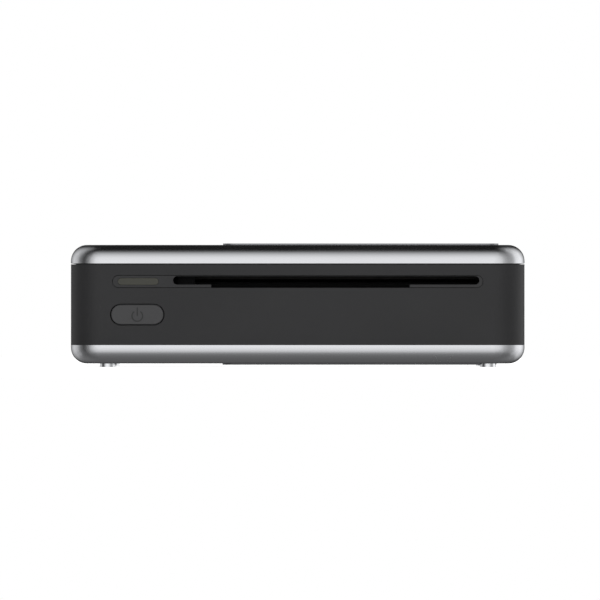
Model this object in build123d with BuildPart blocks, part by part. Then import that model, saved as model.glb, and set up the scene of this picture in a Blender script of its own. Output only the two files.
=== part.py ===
from build123d import *
import math
import os

# Portable photo printer with a hinged top cover.
# Frame: X to the right seen from the front, Y towards the back, Z up.
# Origin: middle of the footprint, on the surface that the feet stand on. Millimetres.

# Driving sizes of the case
WIDTH = 75.0
DEPTH = 120.0
CORNER_RADIUS = 5.0
EDGE_RADIUS = 2.65
FOOT_HEIGHT = 0.6
LOWER_SEAM = 3.65
UPPER_SEAM = 17.15
CASE_TOP = 20.2
SEAM_GAP = 0.15
PLATE_PROUD = 0.25
HALF_W = WIDTH / 2
HALF_D = DEPTH / 2

# Paper, sized by the room that the case leaves for it
CASE_SIDES = 25.0
PAPER_WIDTH = WIDTH - CASE_SIDES
PAPER_THICKNESS = 0.2
PAPER_SIDE_CLEARANCE = 1.0

# Walls and clearances
SHELL_WALL = 1.3
FLOOR_THICKNESS = 1.2
COVER_SKIN = 1.2
CAVITY_CHAMFER = 0.8
FRAME_WALL = 2.2
FIT = 0.1
SIDE_GAP = 0.3
RUNNING = 0.05
PRESS = 0.01

# Front face
SLOT_WIDTH = PAPER_WIDTH + 1.2
SLOT_CENTRE_X = 5.0
BEZEL_MARGIN = 6.85
BEZEL_WIDTH = WIDTH - 2 * BEZEL_MARGIN
BEZEL_HEIGHT = 2.1
BEZEL_DEPTH = 1.4
SLOT_Z = 14.16
SLOT_LIP = 0.45
SLOT_RELIEF_LEFT = SLOT_CENTRE_X - SLOT_WIDTH / 2 + 6.3
SLOT_RELIEF_RIGHT = SLOT_CENTRE_X + SLOT_WIDTH / 2 - 12.1
LENS_LEFT = -HALF_W + 7.8
LENS_RIGHT = -HALF_W + 14.5
LENS_HEIGHT = 1.1
BUTTON_X = -HALF_W + 11.0
BUTTON_Z = 8.69
BUTTON_WIDTH = 8.7
BUTTON_HEIGHT = 3.3
BUTTON_GAP = 0.15
BUTTON_TRAVEL = 0.3

# Raised plates, top and bottom
TOP_PLATE_LEFT = -HALF_W + 25.15
TOP_PLATE_RIGHT = HALF_W - 4.3
TOP_PLATE_FRONT = -HALF_D + 4.5
TOP_PLATE_BACK = HALF_D - 11.0
BASE_PLATE_LEFT = -HALF_W + 25.0
BASE_PLATE_RIGHT = HALF_W - 4.5
BASE_PLATE_HALF_DEPTH = HALF_D - 19.0
PLATE_CORNER = 2.0

# Feet and case screws
FOOT_X = HALF_W - 6.0
FOOT_Y = HALF_D - 13.0
FOOT_RADIUS = 1.28
SCREW_X = HALF_W - 5.3
SCREW_Y = HALF_D - 5.3
CASE_SCREW_RADIUS = 0.8
CASE_SCREW_HEAD = 1.5
CASE_SCREW_HEAD_HEIGHT = 0.9
CASE_BOSS_RADIUS = 1.8
BOSS_INNER = 1.4
CASE_SCREW_LENGTH = 8.0

# Hinge of the top cover, centred on the rounded rear edge
HINGE_RADIUS = EDGE_RADIUS
HINGE_Y = DEPTH / 2 - HINGE_RADIUS
HINGE_Z = CASE_TOP - HINGE_RADIUS
HINGE_CLEARANCE = 0.2
KNUCKLE_X = HALF_W - 11.5
KNUCKLE_LENGTH = 7.4
PIN_RADIUS = 0.75
PIN_LENGTH = 14.0
HINGE_BEAM_FRONT = HALF_D - 7.0
HINGE_BEAM_BOTTOM = 11.5

# Well that holds the sheets
WELL_BACK = HALF_D - 8.5
WELL_FRONT = -HALF_D + 34.0
DECK_FRONT = -HALF_D + 50.0
WELL_FLOOR_TOP = 13.4
TRAY_THICKNESS = 1.0
TRAY_WALL = 1.2
TRAY_TOP = 16.4
LEDGE_WIDTH = 2.9
LEDGE_HEIGHT = 2.0

# Drive mechanism
MODULE = 0.4
PRESSURE_ANGLE = 20.0
BACKLASH = 0.1
GEAR_FACE = 2.0
GEAR_BACK_GAP = 1.0
PLATEN_TEETH = 21
FEED_TEETH = 15
PICKUP_TEETH = 21
TRANSFER_TEETH = 24
DRIVE_TEETH = 20
PINION_TEETH = 10
PLATE_THICKNESS = 0.8
LEFT_PLATE_INNER = -HALF_W + 14.3
RIGHT_PLATE_INNER = HALF_W - 6.0
PLATE_FRONT = -HALF_D + 7.6
PLATE_BACK = -HALF_D + 45.7
PLATE_TOP = 16.6
PLATE_LOW_TOP = 12.2
PLATE_STEP_Y = -HALF_D + 33.4
PLATEN_RADIUS = 3.5
PLATEN_SHAFT_RADIUS = 1.25
FEED_RADIUS = 2.5
PINCH_RADIUS = 1.5
PINCH_JOURNAL_RADIUS = 0.8
SMALL_SHAFT_RADIUS = 1.0
PICKUP_RADIUS = 3.5
PICKUP_PROUD = 0.3
TYRE_WIDTH = 6.0
TYRE_X = (SLOT_CENTRE_X - 13.0, SLOT_CENTRE_X + 13.0)
BUSHING_WALL = 0.9
BUSHING_PROUD = 0.4
POST_RADIUS = 1.0
PLATEN_Y = -HALF_D + 10.0
FEED_Y = -HALF_D + 26.0
PICKUP_Y = -HALF_D + 41.0
PATH_BOTTOM = 14.1

# Print head
HEAD_FRONT = -HALF_D + 5.2
HEAD_PIVOT_Y = -HALF_D + 17.5
HEAD_PIVOT_Z = 15.9
TRUNNION_RADIUS = 0.9
CARRIER_BOTTOM = 15.3
CARRIER_THICKNESS = 1.0
CERAMIC_BOTTOM = 14.55
CERAMIC_DEPTH = 5.5
HEAD_SIDE_GAP = 0.5

# Motor
MOTOR_WIDTH = 10.0
MOTOR_HEIGHT = 8.0
GEARBOX_LENGTH = 9.0
MOTOR_LENGTH = 15.0
MOTOR_SHAFT_RADIUS = 0.75
MOTOR_SCREW_OFFSET = 3.6

# Electronics
BOARD_THICKNESS = 1.0
BOARD_HALF_WIDTH = HALF_W - 4.5
BOARD_FRONT = HALF_D - 33.0
BOARD_BACK = HALF_D - 4.0
BOARD_Z = 5.0
BATTERY_HALF_WIDTH = HALF_W - 7.5
BATTERY_FRONT = PLATE_BACK + 6.3
BATTERY_BACK = BOARD_FRONT - 3.0
BATTERY_HEIGHT = 7.5
USB_X = HALF_W - 19.5
USB_WIDTH = 7.5
USB_HEIGHT = 2.6
RESET_X = USB_X - 10.0
CHARGE_X = USB_X - 20.0
REAR_HOLE_Z = 7.3
RESET_HOLE_RADIUS = 0.6
CHARGE_HOLE_RADIUS = 1.0
RESET_TRAVEL = 0.25

# Small screws inside, modelled many-sided
FASTENER_SIDES = 6
BUSHING_SIDES = 8
WELL_SIDES = 12
SMALL_SCREW_RADIUS = 0.6
SMALL_HEAD_RADIUS = 1.1
SMALL_HEAD_HEIGHT = 0.6
SMALL_SCREW_LENGTH = 3.0

# Pressure plate in the cover
LINER_THICKNESS = 1.0
PRESS_THICKNESS = 1.0
PRESS_WIDTH = PAPER_WIDTH - 6.0
PRESS_FRONT = PICKUP_Y
PRESS_BACK = WELL_BACK - 8.5
PRESS_CENTRE_Y = (PRESS_FRONT + PRESS_BACK) / 2
PRESS_LENGTH = PRESS_BACK - PRESS_FRONT
PRESS_TRAVEL = 2.2
PAD_HEIGHT = 0.4

# Worked-out places
FLOOR_TOP = FOOT_HEIGHT + FLOOR_THICKNESS
FRAME_TOP = UPPER_SEAM - SEAM_GAP
FRAME_IN_X = HALF_W - FRAME_WALL
FRAME_IN_Y = HALF_D - FRAME_WALL
COVER_CEILING = CASE_TOP - COVER_SKIN
LINER_BOTTOM = COVER_CEILING - LINER_THICKNESS
PLATEN_Z = PATH_BOTTOM - PLATEN_RADIUS
FEED_Z = PATH_BOTTOM - FEED_RADIUS
PINCH_Z = PATH_BOTTOM + PAPER_THICKNESS + PINCH_RADIUS
PICKUP_Z = WELL_FLOOR_TOP + PICKUP_PROUD - PICKUP_RADIUS
GEAR_RIGHT = LEFT_PLATE_INNER - PLATE_THICKNESS - GEAR_BACK_GAP
GEAR_LEFT = GEAR_RIGHT - GEAR_FACE
WELL_HALF = PAPER_WIDTH / 2 + PAPER_SIDE_CLEARANCE
WELL_LEFT = SLOT_CENTRE_X - WELL_HALF
WELL_RIGHT = SLOT_CENTRE_X + WELL_HALF
ROLLER_LEFT = SLOT_CENTRE_X - SLOT_WIDTH / 2
ROLLER_RIGHT = SLOT_CENTRE_X + SLOT_WIDTH / 2
CORNERS = [(sx, sy) for sx in (-1, 1) for sy in (-1, 1)]


def slab(x, y, z, mode=Mode.ADD):
    """Box between two corners, given as ranges along each axis."""
    with Locations(((x[0] + x[1]) / 2, (y[0] + y[1]) / 2, (z[0] + z[1]) / 2)):
        Box(abs(x[1] - x[0]), abs(y[1] - y[0]), abs(z[1] - z[0]), mode=mode)


def rod_x(y, z, radius, x, mode=Mode.ADD):
    """Round bar along X."""
    with Locations(Location(((x[0] + x[1]) / 2, y, z), (0, 90, 0))):
        Cylinder(radius, abs(x[1] - x[0]), mode=mode)


def rod_y(x, z, radius, y, mode=Mode.ADD):
    """Round bar along Y."""
    with Locations(Location((x, (y[0] + y[1]) / 2, z), (90, 0, 0))):
        Cylinder(radius, abs(y[1] - y[0]), mode=mode)


def rod_z(x, y, radius, z, mode=Mode.ADD):
    """Round bar along Z."""
    with Locations((x, y, (z[0] + z[1]) / 2)):
        Cylinder(radius, abs(z[1] - z[0]), mode=mode)


def stud(plane, centre, radius, length, sides, mode=Mode.ADD):
    """Many-sided prism on a plane, for small repeated pins, screws and their holes."""
    with BuildSketch(plane) as outline:
        with Locations(centre):
            RegularPolygon(radius, sides, major_radius=False)
    extrude(outline.sketch, amount=length, mode=mode)


def stud_z(x, y, radius, z, mode=Mode.ADD):
    """Small fastener shape along Z; radius is to its flats."""
    stud(Plane.XY.offset(z[0]), (x, y), radius, z[1] - z[0], FASTENER_SIDES, mode)


def stud_x(y, z, radius, x, mode=Mode.ADD):
    """Small fastener shape along X; radius is to its flats."""
    stud(Plane.YZ.offset(min(x)), (y, z), radius, abs(x[1] - x[0]), FASTENER_SIDES, mode)


def plan(offset, z, mode=Mode.ADD):
    """Rounded plan outline of the case, drawn in by an offset, between two heights."""
    with BuildSketch(Plane.XY.offset(z[0])) as outline:
        RectangleRounded(WIDTH - 2 * offset, DEPTH - 2 * offset, CORNER_RADIUS - offset)
    extrude(outline.sketch, amount=z[1] - z[0], mode=mode)


def pill(x, z, width, height, y, mode=Mode.ADD):
    """Bar of stadium section along Y, seen as a pill from the front."""
    with BuildSketch(Plane.XZ.offset(-y[1])) as outline:
        with Locations((x, z)):
            SlotOverall(width, height)
    extrude(outline.sketch, amount=y[1] - y[0], mode=mode)


def save(builder, name):
    """Label a finished piece and write it."""
    builder.part.label = name
    export_step(builder.part, f"parts/{name}.step")


def meet(centre_a, radius_a, centre_b, radius_b, side):
    """Point at two given distances from two centres, on one side of their line."""
    dy = centre_b[0] - centre_a[0]
    dz = centre_b[1] - centre_a[1]
    span = math.hypot(dy, dz)
    along = (radius_a**2 - radius_b**2 + span**2) / (2 * span)
    rise = math.sqrt(radius_a**2 - along**2) * side
    uy = dy / span
    uz = dz / span
    return centre_a[0] + along * uy - rise * uz, centre_a[1] + along * uz + rise * uy


def centre_distance(teeth_a, teeth_b):
    """Distance between the axes of two meshed gears."""
    return MODULE * (teeth_a + teeth_b) / 2


def direction(centre_a, centre_b):
    """Angle of the line from one axis to another, from +Y towards +Z."""
    return math.atan2(centre_b[1] - centre_a[1], centre_b[0] - centre_a[0])


def mesh_phase(centre_a, teeth_a, phase_a, centre_b, teeth_b):
    """Angle of one tooth of gear B that puts it in mesh with gear A."""
    pitch_a = 2 * math.pi / teeth_a
    pitch_b = 2 * math.pi / teeth_b
    offset = (direction(centre_a, centre_b) - phase_a) / pitch_a
    return direction(centre_b, centre_a) - (0.5 - offset) * pitch_b


def involute(angle):
    return math.tan(angle) - angle


def gear(teeth, centre, phase, x, bore):
    """Spur gear on an axis along X; each flank joins two points of its involute."""
    pitch_radius = MODULE * teeth / 2
    base_radius = pitch_radius * math.cos(math.radians(PRESSURE_ANGLE))
    root_radius = pitch_radius - 1.25 * MODULE
    tip_radius = pitch_radius + MODULE
    half_tooth = (math.pi * MODULE / 2 - BACKLASH) / (2 * pitch_radius)
    low = max(base_radius, root_radius)
    flank = [(root_radius, low), (tip_radius, tip_radius)]
    points = []
    for tooth in range(teeth):
        middle = phase + tooth * 2 * math.pi / teeth
        for side in (-1, 1):
            ordered = flank if side < 0 else reversed(flank)
            for radius, on_flank in ordered:
                slope = math.acos(base_radius / on_flank)
                half = half_tooth + involute(math.radians(PRESSURE_ANGLE)) - involute(slope)
                angle = middle + side * half
                points.append((radius * math.cos(angle), radius * math.sin(angle)))
    with BuildSketch(Plane.YZ.offset(x[0])) as outline:
        with Locations(centre):
            Polygon(*points, align=None)
            Circle(bore, mode=Mode.SUBTRACT)
    extrude(outline.sketch, amount=x[1] - x[0])


os.makedirs("parts", exist_ok=True)

# Axes of the gear train, as (y, z)
PLATEN_AXIS = (PLATEN_Y, PLATEN_Z)
FEED_AXIS = (FEED_Y, FEED_Z)
PICKUP_AXIS = (PICKUP_Y, PICKUP_Z)
TRANSFER_AXIS = meet(
    PLATEN_AXIS,
    centre_distance(PLATEN_TEETH, TRANSFER_TEETH),
    FEED_AXIS,
    centre_distance(FEED_TEETH, TRANSFER_TEETH),
    -1,
)
DRIVE_AXIS = meet(
    FEED_AXIS,
    centre_distance(FEED_TEETH, DRIVE_TEETH),
    PICKUP_AXIS,
    centre_distance(PICKUP_TEETH, DRIVE_TEETH),
    1,
)
MOTOR_AXIS = (DRIVE_AXIS[0], DRIVE_AXIS[1] - centre_distance(DRIVE_TEETH, PINION_TEETH))

PLATEN_PHASE = 0.0
TRANSFER_PHASE = mesh_phase(PLATEN_AXIS, PLATEN_TEETH, PLATEN_PHASE, TRANSFER_AXIS, TRANSFER_TEETH)
FEED_PHASE = mesh_phase(TRANSFER_AXIS, TRANSFER_TEETH, TRANSFER_PHASE, FEED_AXIS, FEED_TEETH)
DRIVE_PHASE = mesh_phase(FEED_AXIS, FEED_TEETH, FEED_PHASE, DRIVE_AXIS, DRIVE_TEETH)
PICKUP_PHASE = mesh_phase(DRIVE_AXIS, DRIVE_TEETH, DRIVE_PHASE, PICKUP_AXIS, PICKUP_TEETH)
PINION_PHASE = mesh_phase(DRIVE_AXIS, DRIVE_TEETH, DRIVE_PHASE, MOTOR_AXIS, PINION_TEETH)

# Base shell: shallow tray with a rounded lower edge, screw wells and board posts
BASE_BOSS_TOP = LOWER_SEAM + 0.6
BOARD_POST_X = BOARD_HALF_WIDTH - 4.0
BOARD_POSTS = [(sx * BOARD_POST_X, y) for sx in (-1, 1) for y in (BOARD_FRONT + 3.5, BOARD_BACK - 6.0)]
BOARD_POST = 3.4
POST_RIB = 0.6
BATTERY_RIB = 0.8
BATTERY_RIB_HALF = 12.0
BOARD_STAKE_RADIUS = 0.7

with BuildPart() as base_cavity:
    plan(SHELL_WALL, (FLOOR_TOP, LOWER_SEAM))
    chamfer(base_cavity.faces().sort_by(Axis.Z)[0].edges(), CAVITY_CHAMFER)

with BuildPart() as base_shell:
    plan(0, (FOOT_HEIGHT, LOWER_SEAM))
    fillet(base_shell.faces().sort_by(Axis.Z)[0].edges(), EDGE_RADIUS)
    add(base_cavity.part, mode=Mode.SUBTRACT)
    for sx, sy in CORNERS:
        boss = CASE_BOSS_RADIUS + 0.2
        boss_x = (sx * SCREW_X - boss, sx * SCREW_X + boss)
        boss_y = (sy * SCREW_Y - boss, sy * SCREW_Y + boss)
        slab(boss_x, boss_y, (FLOOR_TOP - 0.2, BASE_BOSS_TOP))
        stud_z(sx * SCREW_X, sy * SCREW_Y, CASE_SCREW_RADIUS + FIT, (0, BASE_BOSS_TOP), Mode.SUBTRACT)
        head_top = FOOT_HEIGHT + CASE_SCREW_HEAD_HEIGHT + 0.2
        well_radius = CASE_SCREW_HEAD + FIT
        stud(Plane.XY, (sx * SCREW_X, sy * SCREW_Y), well_radius, head_top, WELL_SIDES, Mode.SUBTRACT)
    for x, y in BOARD_POSTS:
        post_x = (x - BOARD_POST / 2, x + BOARD_POST / 2)
        slab(post_x, (y - POST_RIB, y + POST_RIB), (FLOOR_TOP - 0.2, BOARD_Z))
        stud_z(x, y, BOARD_STAKE_RADIUS, (BOARD_Z - 0.2, BOARD_Z + BOARD_THICKNESS + 0.5))
    for y in (BATTERY_FRONT - 0.2 - BATTERY_RIB, BATTERY_BACK + 0.2):
        rib_x = (-BATTERY_RIB_HALF, BATTERY_RIB_HALF)
        slab(rib_x, (y, y + BATTERY_RIB), (FLOOR_TOP - 0.2, FLOOR_TOP + BATTERY_HEIGHT / 2))
save(base_shell, "base_shell")

# Raised plate under the base
with BuildPart() as base_plate:
    width = BASE_PLATE_RIGHT - BASE_PLATE_LEFT
    with BuildSketch(Plane.XY.offset(FOOT_HEIGHT - PLATE_PROUD)):
        with Locations(((BASE_PLATE_LEFT + BASE_PLATE_RIGHT) / 2, 0)):
            RectangleRounded(width, 2 * BASE_PLATE_HALF_DEPTH, PLATE_CORNER)
        for sx, sy in CORNERS:
            with Locations((sx * FOOT_X, sy * FOOT_Y)):
                Circle(FOOT_RADIUS + SIDE_GAP, mode=Mode.SUBTRACT)
    extrude(amount=PLATE_PROUD)
save(base_plate, "base_plate")

# Feet: four polished studs
with BuildPart() as feet:
    for sx, sy in CORNERS:
        rod_z(sx * FOOT_X, sy * FOOT_Y, FOOT_RADIUS, (0, FOOT_HEIGHT))
save(feet, "feet")

# Case screws, driven up from below into the frame
with BuildPart() as case_screws:
    for sx, sy in CORNERS:
        head_bottom = FOOT_HEIGHT + 0.2
        head_top = head_bottom + CASE_SCREW_HEAD_HEIGHT
        stud_z(sx * SCREW_X, sy * SCREW_Y, CASE_SCREW_HEAD - 0.1, (head_bottom, head_top))
        stud_z(sx * SCREW_X, sy * SCREW_Y, CASE_SCREW_RADIUS, (head_top, head_top + CASE_SCREW_LENGTH))
save(case_screws, "case_screws")

# Mid frame: the dark band with the front openings, rear ports and hinge knuckles
LIP_OUTER = SHELL_WALL + 0.15
LIP_WALL = FRAME_WALL - LIP_OUTER
LIP_TOP = FRAME_TOP + 0.9
MAGNET_RADIUS = 1.4
MAGNET_HEIGHT = 1.5
LEDGE_TOP = TRAY_TOP - TRAY_THICKNESS
TRAY_SCREW_Y = (DECK_FRONT + 4.0, WELL_BACK - 4.5)
TRAY_SCREWS = [(sx * (FRAME_IN_X - 1.6), y) for sx in (-1, 1) for y in TRAY_SCREW_Y]
SCOOP_RADIUS = 14.0
SCOOP_DEPTH = 0.9
SCOOP_Y = -HALF_D + 22.0
SCOOP_HEIGHT = 2.2
BUTTON_POST_X = -HALF_W + 18.9
BUTTON_POST_Z = (5.8, 9.8)
BUTTON_BOARD_FRONT = -HALF_D + 4.1
BUTTON_BOARD_THICKNESS = 0.8



def magnet(side, extra=0.0, mode=Mode.ADD):
    """Square holding magnet in the frame's front corner on one side."""
    half = MAGNET_RADIUS + extra
    x = (side * SCREW_X - half, side * SCREW_X + half)
    y = (-SCREW_Y - half, -SCREW_Y + half)
    slab(x, y, (FRAME_TOP - MAGNET_HEIGHT, FRAME_TOP), mode)


with BuildPart() as hinge_beam:
    plan(0, (HINGE_BEAM_BOTTOM, FRAME_TOP))
    slab((-HALF_W, HALF_W), (-HALF_D, HINGE_BEAM_FRONT), (0, CASE_TOP), Mode.SUBTRACT)

with BuildPart() as knuckles:
    for sx in (-1, 1):
        span = (sx * KNUCKLE_X - KNUCKLE_LENGTH / 2, sx * KNUCKLE_X + KNUCKLE_LENGTH / 2)
        rod_x(HINGE_Y, HINGE_Z, HINGE_RADIUS, span)
        slab(span, (HINGE_Y - HINGE_RADIUS, HALF_D), (HINGE_BEAM_BOTTOM, HINGE_Z))

with BuildPart() as mid_frame:
    plan(0, (LOWER_SEAM, FRAME_TOP))
    plan(LIP_OUTER, (FRAME_TOP, LIP_TOP))
    plan(LIP_OUTER + LIP_WALL, (LOWER_SEAM, LIP_TOP), Mode.SUBTRACT)
    add(hinge_beam.part)
    slab((-HALF_W, HALF_W), (HINGE_BEAM_FRONT - 1.0, HALF_D), (FRAME_TOP, CASE_TOP), Mode.SUBTRACT)
    rod_x(HINGE_Y, HINGE_Z, HINGE_RADIUS + HINGE_CLEARANCE, (-HALF_W - 1, HALF_W + 1), Mode.SUBTRACT)
    add(knuckles.part)
    bore = KNUCKLE_X + KNUCKLE_LENGTH
    rod_x(HINGE_Y, HINGE_Z, PIN_RADIUS + PRESS, (-bore, bore), Mode.SUBTRACT)
    for sx, sy in CORNERS:
        top = FRAME_TOP if sy < 0 else HINGE_BEAM_BOTTOM + 0.5
        boss_x = (sx * (SCREW_X - BOSS_INNER), sx * (FRAME_IN_X + 0.5))
        boss_y = (sy * SCREW_Y - CASE_BOSS_RADIUS, sy * SCREW_Y + CASE_BOSS_RADIUS)
        slab(boss_x, boss_y, (BASE_BOSS_TOP, top))
        pilot_top = BASE_BOSS_TOP + CASE_SCREW_LENGTH
        stud_z(sx * SCREW_X, sy * SCREW_Y, CASE_SCREW_RADIUS + PRESS, (0, pilot_top), Mode.SUBTRACT)
    for sx in (-1, 1):
        magnet(sx, PRESS, Mode.SUBTRACT)
        slab(
            (sx * (FRAME_IN_X - LEDGE_WIDTH), sx * (FRAME_IN_X + 0.5)),
            (DECK_FRONT, HINGE_BEAM_FRONT + 1),
            (LEDGE_TOP - LEDGE_HEIGHT, LEDGE_TOP),
        )
    for x, y in TRAY_SCREWS:
        stud_z(x, y, SMALL_SCREW_RADIUS + PRESS, (LEDGE_TOP - LEDGE_HEIGHT - 1, LEDGE_TOP), Mode.SUBTRACT)
    post_x = (BUTTON_POST_X - 1.0, BUTTON_POST_X + 1.0)
    slab(post_x, (-FRAME_IN_Y - 0.5, BUTTON_BOARD_FRONT), BUTTON_POST_Z)
    # Finger scoops under the front of the cover
    for sx in (-1, 1):
        with BuildSketch(Plane.XY.offset(FRAME_TOP - SCOOP_HEIGHT)):
            with Locations((sx * (HALF_W + SCOOP_RADIUS - SCOOP_DEPTH), SCOOP_Y)):
                Circle(SCOOP_RADIUS)
        extrude(amount=SCOOP_HEIGHT, mode=Mode.SUBTRACT)
    # Openings: bezel, power button, charging socket, reset hole and charge light
    pill(0, SLOT_Z, BEZEL_WIDTH, BEZEL_HEIGHT, (-HALF_D - 1, -HALF_D + BEZEL_DEPTH), Mode.SUBTRACT)
    through = (-HALF_D, -FRAME_IN_Y + 1)
    slot_z = (SLOT_Z - BEZEL_HEIGHT / 2 + 0.2, SLOT_Z + BEZEL_HEIGHT / 2 - 0.2)
    slab((ROLLER_LEFT + 0.8, ROLLER_RIGHT - 0.8), through, slot_z, Mode.SUBTRACT)
    lens_x = (LENS_LEFT + LENS_RIGHT) / 2
    lens_width = LENS_RIGHT - LENS_LEFT
    lens_z = (SLOT_Z - LENS_HEIGHT / 2 - 0.1, SLOT_Z + LENS_HEIGHT / 2 + 0.1)
    slab((LENS_LEFT - 0.1, LENS_RIGHT + 0.1), through, lens_z, Mode.SUBTRACT)
    hole_width = BUTTON_WIDTH + 2 * BUTTON_GAP
    hole_height = BUTTON_HEIGHT + 2 * BUTTON_GAP
    pill(BUTTON_X, BUTTON_Z, hole_width, hole_height, (-HALF_D - 1, -FRAME_IN_Y + 1), Mode.SUBTRACT)
    usb_z = BOARD_Z + BOARD_THICKNESS + USB_HEIGHT / 2
    pill(USB_X, usb_z, USB_WIDTH + 0.8, USB_HEIGHT + 0.8, (FRAME_IN_Y - 1, HALF_D + 1), Mode.SUBTRACT)
    rod_y(RESET_X, REAR_HOLE_Z, RESET_HOLE_RADIUS, (FRAME_IN_Y - 1, HALF_D + 1), Mode.SUBTRACT)
    rod_y(CHARGE_X, REAR_HOLE_Z, CHARGE_HOLE_RADIUS + PRESS, (FRAME_IN_Y - 1, HALF_D + 1), Mode.SUBTRACT)
save(mid_frame, "mid_frame")

# Front bezel: pill-shaped insert with the paper slot and the window of the status light
with BuildPart() as slot_bezel:
    front = -HALF_D + 0.05
    back = -HALF_D + BEZEL_DEPTH
    rim = 0.08
    pill(0, SLOT_Z, BEZEL_WIDTH - 2 * rim, BEZEL_HEIGHT - 2 * rim, (front, back))
    slot_bottom = SLOT_Z - BEZEL_HEIGHT / 2 + rim
    slot_top = SLOT_Z + BEZEL_HEIGHT / 2 - 2 * rim
    slab_z = (slot_bottom + SLOT_LIP, slot_top)
    slot_height = slot_top - slot_bottom - SLOT_LIP
    slot_middle = (slab_z[0] + slab_z[1]) / 2
    pill(
        SLOT_CENTRE_X - 0.3,
        slot_middle,
        SLOT_WIDTH - 0.6,
        slot_height,
        (front, back),
        Mode.SUBTRACT,
    )
    relief = (SLOT_RELIEF_LEFT, SLOT_RELIEF_RIGHT)
    slab(relief, (front, back), (slot_bottom - 0.01, slot_middle), Mode.SUBTRACT)
    pill(lens_x, SLOT_Z, lens_width + 0.1, LENS_HEIGHT + 0.1, (front, back), Mode.SUBTRACT)
save(slot_bezel, "slot_bezel")

# Status light: clear lens in front, light on its board behind
LENS_BACK = -HALF_D + 2.8
with BuildPart() as led_lens:
    pill(lens_x, SLOT_Z, lens_width, LENS_HEIGHT, (-HALF_D + 0.02, LENS_BACK))
save(led_lens, "led_lens")

BUTTON_BOARD_BACK = BUTTON_BOARD_FRONT + BUTTON_BOARD_THICKNESS
BUTTON_BOARD_Z = (5.4, 15.1)
SWITCH_HALF_WIDTH = 2.2
SWITCH_HALF_HEIGHT = 1.6
LED_HALF = (0.8, 0.4)
DOME_HALF = 0.9
with BuildPart() as button_board:
    slab((LENS_LEFT - 0.2, BUTTON_POST_X + 1.6), (BUTTON_BOARD_FRONT, BUTTON_BOARD_BACK), BUTTON_BOARD_Z)
save(button_board, "button_board")

SWITCH_FRONT = BUTTON_BOARD_FRONT - 0.5
DOME_FRONT = SWITCH_FRONT - 0.3
with BuildPart() as power_switch:
    switch_x = (BUTTON_X - SWITCH_HALF_WIDTH, BUTTON_X + SWITCH_HALF_WIDTH)
    switch_z = (BUTTON_Z - SWITCH_HALF_HEIGHT, BUTTON_Z + SWITCH_HALF_HEIGHT)
    slab(switch_x, (SWITCH_FRONT, BUTTON_BOARD_FRONT), switch_z)
    dome_x = (BUTTON_X - DOME_HALF, BUTTON_X + DOME_HALF)
    dome_z = (BUTTON_Z - DOME_HALF, BUTTON_Z + DOME_HALF)
    slab(dome_x, (DOME_FRONT, SWITCH_FRONT), dome_z)
save(power_switch, "power_switch")

with BuildPart() as status_led:
    led_x = (lens_x - LED_HALF[0], lens_x + LED_HALF[0])
    led_z = (SLOT_Z - LED_HALF[1], SLOT_Z + LED_HALF[1])
    slab(led_x, (BUTTON_BOARD_FRONT - 0.7, BUTTON_BOARD_FRONT), led_z)
save(status_led, "status_led")

# Power button: pill-shaped cap with a bevelled rim, a retaining flange and a stem
BUTTON_FRONT = -HALF_D + 0.02
BUTTON_FLANGE_FRONT = -FRAME_IN_Y + 0.02
BUTTON_FLANGE_BACK = BUTTON_FLANGE_FRONT + 0.6
with BuildPart() as power_button:
    pill(BUTTON_X, BUTTON_Z, BUTTON_WIDTH, BUTTON_HEIGHT, (BUTTON_FRONT, BUTTON_FLANGE_FRONT))
    chamfer(power_button.faces().sort_by(Axis.Y)[0].edges(), 0.12)
    flange_x = (BUTTON_X - BUTTON_WIDTH / 2 + 0.6, BUTTON_X + BUTTON_WIDTH / 2 - 0.6)
    flange_z = (BUTTON_Z - BUTTON_HEIGHT / 2 - 0.6, BUTTON_Z + BUTTON_HEIGHT / 2 + 0.6)
    slab(flange_x, (BUTTON_FLANGE_FRONT, BUTTON_FLANGE_BACK), flange_z)
    stem_x = (BUTTON_X - 1.0, BUTTON_X + 1.0)
    stem_z = (BUTTON_Z - 1.0, BUTTON_Z + 1.0)
    slab(stem_x, (BUTTON_FLANGE_BACK, DOME_FRONT - BUTTON_TRAVEL - 0.05), stem_z)
save(power_button, "power_button")

# Exit guide: shelf under the paper behind the slot, with a thumb relief
GUIDE_TOP = SLOT_Z - BEZEL_HEIGHT / 2 + rim + SLOT_LIP
with BuildPart() as exit_guide:
    guide_x = (ROLLER_LEFT - 0.3, ROLLER_RIGHT - 0.9)
    slab(guide_x, (-FRAME_IN_Y, BUTTON_BOARD_FRONT - 0.3), (GUIDE_TOP - 0.8, GUIDE_TOP))
    tongue_x = (BUTTON_POST_X + 2.2, guide_x[1])
    slab(tongue_x, (-FRAME_IN_Y, PLATEN_Y - PLATEN_RADIUS - 0.9), (GUIDE_TOP - 0.8, GUIDE_TOP))
    slab(relief, (-FRAME_IN_Y, -FRAME_IN_Y + 1.2), (GUIDE_TOP - 1, GUIDE_TOP + 1), Mode.SUBTRACT)
    slab(guide_x, (-FRAME_IN_Y, -FRAME_IN_Y + 1.0), (GUIDE_TOP - 2.9, GUIDE_TOP - 0.8))
    chamfer(exit_guide.edges().filter_by(Axis.X).group_by(Axis.Z)[-1].sort_by(Axis.Y)[-1], 0.4)
save(exit_guide, "exit_guide")

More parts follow.
